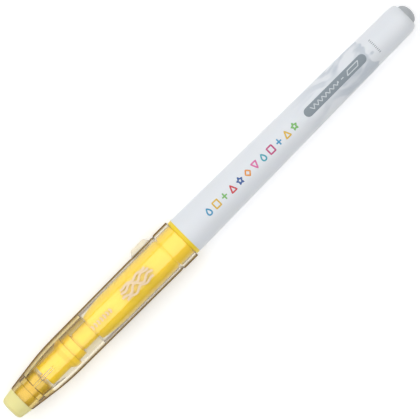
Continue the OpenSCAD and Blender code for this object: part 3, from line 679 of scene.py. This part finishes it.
def filmWrap(v):
    # blown polypropylene film drawn tight round the reservoir: thin, milky and glossy, with soft wrinkles and a
    # yellow cast from the ink behind it
    material, tree = newMaterial("blownPolypropyleneFilm")
    place = addNode(tree, "ShaderNodeTexCoord")
    pull = addNode(tree, "ShaderNodeMapping", {"Scale": (0.3, 1, 1)}, {"Vector": place.outputs["Object"]})
    wrinkle = addNode(tree, "ShaderNodeTexNoise", {"Scale": 1 / (v["ripple"] * mm), "Detail": 2},
                      {"Vector": pull.outputs[0]})
    cloud = addNode(tree, "ShaderNodeTexNoise", {"Scale": 1 / (v["drift"] * mm)}, {"Vector": place.outputs["Object"]})
    shade = addNode(tree, "ShaderNodeMix", {"data_type": "RGBA"}, {0: cloud.outputs["Fac"]})
    shade.inputs[6].default_value = linearColor(v["color"])
    shade.inputs[7].default_value = linearColor(v["shade"])
    dull = addNode(tree, "ShaderNodeMapRange", {"To Min": v["roughness"], "To Max": v["roughness"] + 0.12},
                   {"Value": cloud.outputs["Fac"]})
    bump = addNode(tree, "ShaderNodeBump", {"Strength": v["bump"], "Distance": 0.05 * mm},
                   {"Height": wrinkle.outputs["Fac"]})
    shader = addNode(tree, "ShaderNodeBsdfPrincipled", {"IOR": 1.49},
                     {"Base Color": shade.outputs[2], "Roughness": dull.outputs[0], "Normal": bump.outputs[0]})
    addNode(tree, "ShaderNodeOutputMaterial", links={"Surface": shader.outputs[0]})
    return material


# the two CAD nodes that stay have the right shape and get their own materials
for hidden, material in (("ink_reservoir", inkFelt), ("reservoir_film", filmWrap(reservoirFilm))):
    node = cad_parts[hidden]
    node.data.materials.clear()
    node.data.materials.append(material)
print("pen pieces made")

# printed marks: thin skins of ink wrapped round the barrel and the cap

prints = {
    "thick": 0.016, "sunk": 0.03, "roughness": 0.42, "speckle": 0.12, "rowHeight": 2.2, "rowLine": 0.2,
    "rowFrom": 9.5, "rowTo": 39.4, "rowCount": 12, "markWidth": 1.95,
    "marks": ("drop", "square", "plus", "triangle", "star", "diamond", "tent"),
    "inks": ("#3F9AC4", "#E2B93F", "#7FBF6B", "#D2454F", "#3F62A0", "#EB9A45", "#E06BA8", "#46A9B9", "#C4417E"),
    "pill": (43.2, 64.2, 2.5), "pillColor": "#8A959D", "pillMark": "#D5DBE0", "tickColor": "#9AA0A6", "tickAt": 67.6,
    "tickRows": (-2.0, 2.1, 0.5), "tickHalf": 0.28, "tickLine": 0.1,
    # the pictogram: from the pill's front a zigzag, from its rear the block's corners and two dashes
    "pictogramLine": 0.11, "zigzagFrom": 2.2, "zigzagLength": 9.5, "zigzagHeight": 0.55,
    "block": ((-6.6, -0.5), (-3.0, -0.5), (-2.2, 0.5), (-5.8, 0.5)), "dashes": ((-8.4, -7.6), (-9.6, -9.2)),
    "capInk": "#FCE0B6", "capBars": (-31.3, -25.2, 7), "chevron": (0.3, 0.6, 0.24), "capWaves": (-21.0, -10.4),
    "waves": ((-1.3, 0.45, 0.4), (-0.2, 0.75, 1.7), (0.9, 0.55, 3.1), (1.7, 0.3, 4.4)), "waveLine": 0.31,
    "edgeHeight": 0.004,
}


def inkOnPart():
    # screen-printing ink: an even, slightly glossy film whose density is a little uneven where the mesh met the
    # surface; each mark carries its own colour
    material, tree = newMaterial("screenPrintInk")
    place = addNode(tree, "ShaderNodeTexCoord")
    ink = addNode(tree, "ShaderNodeAttribute", {"attribute_name": "inkColor"})
    speckle = addNode(tree, "ShaderNodeTexNoise", {"Scale": 1 / (prints["speckle"] * mm), "Detail": 2},
                      {"Vector": place.outputs["Object"]})
    density = addNode(tree, "ShaderNodeMapRange", {"To Min": 0.9, "To Max": 1.08}, {"Value": speckle.outputs["Fac"]})
    scaled = addNode(tree, "ShaderNodeVectorMath", {"operation": "SCALE"},
                     {0: ink.outputs["Color"], "Scale": density.outputs[0]})
    dull = addNode(tree, "ShaderNodeMapRange", {"To Min": prints["roughness"] - 0.06,
                                                "To Max": prints["roughness"] + 0.08},
                   {"Value": speckle.outputs["Fac"]})
    shader = addNode(tree, "ShaderNodeBsdfPrincipled", {"IOR": 1.48},
                     {"Base Color": scaled.outputs[0], "Roughness": dull.outputs[0]})
    addNode(tree, "ShaderNodeOutputMaterial", links={"Surface": shader.outputs[0]})
    return material


def wrapped(flat, height, skin):
    # flat points (x along the pen, q round it) laid on a skin of radius skin(x), turned by q / radius from the top
    x, q = flat[..., 0], flat[..., 1]
    radius = skin(x)
    return np.stack([x, (radius + height) * np.sin(q / radius), (radius + height) * np.cos(q / radius)], -1)


def stroke(path, halfWidth, skin, color, closed=False):
    # a pen stroke of ink: a path with points added, carried sideways by its own normal, top and underside
    path = np.asarray(path, float)
    path = filled(np.concatenate([path, path[:1]]) if closed else path, 0.25)
    path = path[:-1] if closed else path
    ahead = (np.roll(path, -1, 0) - np.roll(path, 1, 0)) if closed else np.gradient(path, axis=0)
    ahead /= np.linalg.norm(ahead, axis=1)[:, None]
    side = np.stack([-ahead[:, 1], ahead[:, 0]], -1)
    reach = halfWidth * np.array([-1, -0.9, 0, 0.9, 1, 1, 0, -1])
    height = np.array([0, 1, 1, 1, 0, -1, -1, -1], float)
    height = np.where(height > 0, prints["thick"], np.where(height < 0, -prints["sunk"], prints["edgeHeight"]))
    flat = path[:, None, :] + side[:, None, :] * reach[None, :, None]
    return (*gridFaces(wrapped(flat, height[None, :], skin), closeAlong=closed), color)


def shapePaths(kind, width, height):
    # the strokes of one small mark round its own centre, each with whether it closes
    w, h = width / 2, height / 2
    t = np.linspace(0, 2 * np.pi, 28, endpoint=False)
    point = np.pi / 2 + np.arange(10) * np.pi / 5
    reach = np.where(np.arange(10) % 2 == 0, 1.12, 0.5)
    outlines = {
        "triangle": [(-w, -h), (w, -h), (0, h)], "square": [(-w, -h), (w, -h), (w, h), (-w, h)],
        "tent": [(-w, h), (w, h), (0, -h)], "diamond": [(0, -h), (w, 0), (0, h), (-w, 0)],
        "star": np.stack([w * reach * np.cos(point), h * reach * np.sin(point)], -1),
        "drop": np.stack([w * np.sin(t) * np.sin(t / 2), h * np.cos(t)], -1),
    }
    if kind == "plus":
        return [(np.array([(-w, 0), (w, 0)]), False), (np.array([(0, -h), (0, h)]), False)]
    return [(np.array(outlines[kind]), True)]


def capSkin(x):
    # radius of the cap's outside behind the blend: the body's draft
    v = capShell
    rear, body = capFront + v["cone"] + v["blend"], bandRadius - v["bandHeight"]
    return v["shoulder"] + (body - v["shoulder"]) * (x - rear) / (capMouth - v["bandLength"] - rear)


def filledShape(x, halfWidths, skin, color, lift=0.0):
    # a filled mark: rows across the pen at x, each as wide as halfWidths says, with a top and an underside
    across = np.concatenate([np.linspace(-1, 1, 15), np.linspace(1, -1, 5)])
    height = np.concatenate([np.full(15, prints["thick"] + lift), np.full(5, -prints["sunk"])])
    height[[0, 14]] = prints["edgeHeight"]
    flat = np.stack([x[:, None] + 0 * across, halfWidths[:, None] * across], -1)
    return (*gridFaces(wrapped(flat, height[None, :], skin)), color)


def makeBarrelPrints(v):
    # marks at even steps along the pen; a pill whose half width is the root of r squared less the inset squared, with
    # its pictogram; and short ticks by the tail
    line, height = v["rowLine"], v["rowHeight"] - 2 * v["rowLine"]
    parts = []
    for i, centre in enumerate(np.linspace(v["rowFrom"], v["rowTo"], v["rowCount"])):
        color = v["inks"][i % len(v["inks"])]
        for path, closed in shapePaths(v["marks"][i % len(v["marks"])], v["markWidth"] - 2 * line, height):
            parts.append(stroke(path + [centre, 0], line, barrelSkin, color, closed))
    lo, hi, wide = v["pill"]
    r = wide / 2
    bend = r * (1 - np.cos(np.linspace(0.03, np.pi / 2, 12)))
    x = np.concatenate([lo + bend, np.linspace(lo + r, hi - r, 30)[1:-1], hi - bend[::-1]])
    inset = np.maximum(0, np.maximum(lo + r - x, x - hi + r))
    parts.append(filledShape(x, np.sqrt(np.maximum(r * r - inset ** 2, 1e-4)), barrelSkin, v["pillColor"]))
    # a rubbing pictogram on top of the pill: a zigzag that gets lower towards a small slanted block
    lifted = lambda x: barrelSkin(x) + v["thick"]
    thin = v["pictogramLine"]
    s = np.linspace(0, 1, 15)
    upDown = np.where(np.arange(15) % 2 == 0, 1, -1)
    zigzag = np.stack([lo + v["zigzagFrom"] + v["zigzagLength"] * s, v["zigzagHeight"] * (1 - 0.3 * s) * upDown], -1)
    parts.append(stroke(zigzag, thin, lifted, v["pillMark"]))
    parts.append(stroke(np.array([(hi + x, q) for x, q in v["block"]]), thin, lifted, v["pillMark"], True))
    for start, end in v["dashes"]:
        parts.append(stroke([(hi + start, 0), (hi + end, 0)], thin, lifted, v["pillMark"]))
    at, half = v["tickAt"], v["tickHalf"]
    for q in np.arange(*v["tickRows"]):
        parts.append(stroke([(at - half, q), (at + half, q)], v["tickLine"], barrelSkin, v["tickColor"]))
    makePiece("barrelPrint", parts, "pen", inkFilm)


def makeCapPrints(v):
    # a row of chevrons, and ribbons along a sine wave whose height rises and falls as half a sine
    lo, hi, count = v["capBars"]
    parts = []
    deep, half, line = v["chevron"]
    for x in np.linspace(lo, hi, count):
        parts.append(stroke([(x, -half), (x + deep, 0.0), (x, half)], line, capSkin, v["capInk"]))
    lo, hi = v["capWaves"]
    s = np.linspace(0, 1, 60)
    for q, size, phase in v["waves"]:
        wave = np.stack([lo + (hi - lo) * (0.06 * abs(q) + s * (1 - 0.12 * abs(q))),
                         q + size * np.sin(phase + 14 * s) * np.sin(np.pi * s)], -1)
        parts.append(stroke(wave, v["waveLine"], capSkin, v["capInk"]))
    makePiece("capPrint", parts, "cap", inkFilm)


inkFilm = inkOnPart()
makeBarrelPrints(prints)
makeCapPrints(prints)
print("printed marks made")

# floor, lights and camera

stage = {"floor": "#FBFBFB", "glow": 0.245, "size": 3.0, "world": "#E9ECF0", "worldStrength": 0.1,
         "lamps": {"overhead": ((-0.1, 0.14, 1.25), 2.6, 26.4), "leftSide": ((0.0, 0.95, 0.25), 0.6, 0.9),
                   "rightStrip": ((0.0, -0.85, 0.45), 0.5, 0.15)}}


def paperFloor(v):
    # matt white seamless paper, lit a little from below so that it stays pale round the pen
    material, tree = newMaterial("mattSeamlessPaper")
    place = addNode(tree, "ShaderNodeTexCoord")
    tooth = addNode(tree, "ShaderNodeTexNoise", {"Scale": 1 / (0.8 * mm), "Detail": 2},
                    {"Vector": place.outputs["Object"]})
    bump = addNode(tree, "ShaderNodeBump", {"Strength": 0.05, "Distance": 0.02 * mm}, {"Height": tooth.outputs["Fac"]})
    shader = addNode(tree, "ShaderNodeBsdfPrincipled",
                     {"Base Color": linearColor(v["floor"]), "Roughness": 0.9, "Emission Color": (1, 1, 1, 1),
                      "Emission Strength": v["glow"]}, {"Normal": bump.outputs[0]})
    addNode(tree, "ShaderNodeOutputMaterial", links={"Surface": shader.outputs[0]})
    return material


def aimedLight(name, place, target, size, power):
    # a soft round lamp at place, in metres, that faces target
    lamp = bpy.data.lights.new(name, "AREA")
    lamp.shape, lamp.size, lamp.energy = "DISK", size, power
    light = bpy.data.objects.new(name, lamp)
    light.location = place
    towards = np.array(target) - np.array(place)
    light.rotation_euler = Vector(towards).to_track_quat("-Z", "Y").to_euler()
    bpy.context.scene.collection.objects.link(light)


def makeStage(v):
    # a flat floor that the mouth band rests on, a dim even room and the lamps
    half = v["size"] / 2
    mesh = bpy.data.meshes.new("paperFloor")
    low = -bandRadius * mm
    mesh.from_pydata([(-half, -half, low), (half, -half, low), (half, half, low), (-half, half, low)], [],
                     [(0, 1, 2, 3)])
    floor = bpy.data.objects.new("paperFloor", mesh)
    bpy.context.scene.collection.objects.link(floor)
    mesh.materials.append(paperFloor(v))
    world = bpy.data.worlds.new("softRoom")
    bpy.context.scene.world = world
    world.use_nodes = True
    world.node_tree.nodes["Background"].inputs[0].default_value = linearColor(v["world"])
    world.node_tree.nodes["Background"].inputs[1].default_value = v["worldStrength"]
    for lampName, (place, size, power) in v["lamps"].items():
        aimedLight(lampName, place, (0, 0, 0), size, power)


makeStage(stage)

# distance and width of view in metres, turn in degrees, aim in millimetres
camera = {"distance": 0.7, "field": 0.1047, "turn": 45.02, "aim": (9.98, 0.12)}
lens = bpy.data.cameras.new("camera")
lens.sensor_width = 36
lens.lens = lens.sensor_width * camera["distance"] / camera["field"]
lens.clip_start, lens.clip_end = 0.01, 20
cameraObject = bpy.data.objects.new("camera", lens)
cameraObject.location = (camera["aim"][0] * mm, camera["aim"][1] * mm, camera["distance"])
cameraObject.rotation_euler = (0, 0, -math.radians(camera["turn"]))
bpy.context.scene.collection.objects.link(cameraObject)
bpy.context.scene.camera = cameraObject
bpy.context.scene.view_settings.view_transform = "Standard"
print("stage made")
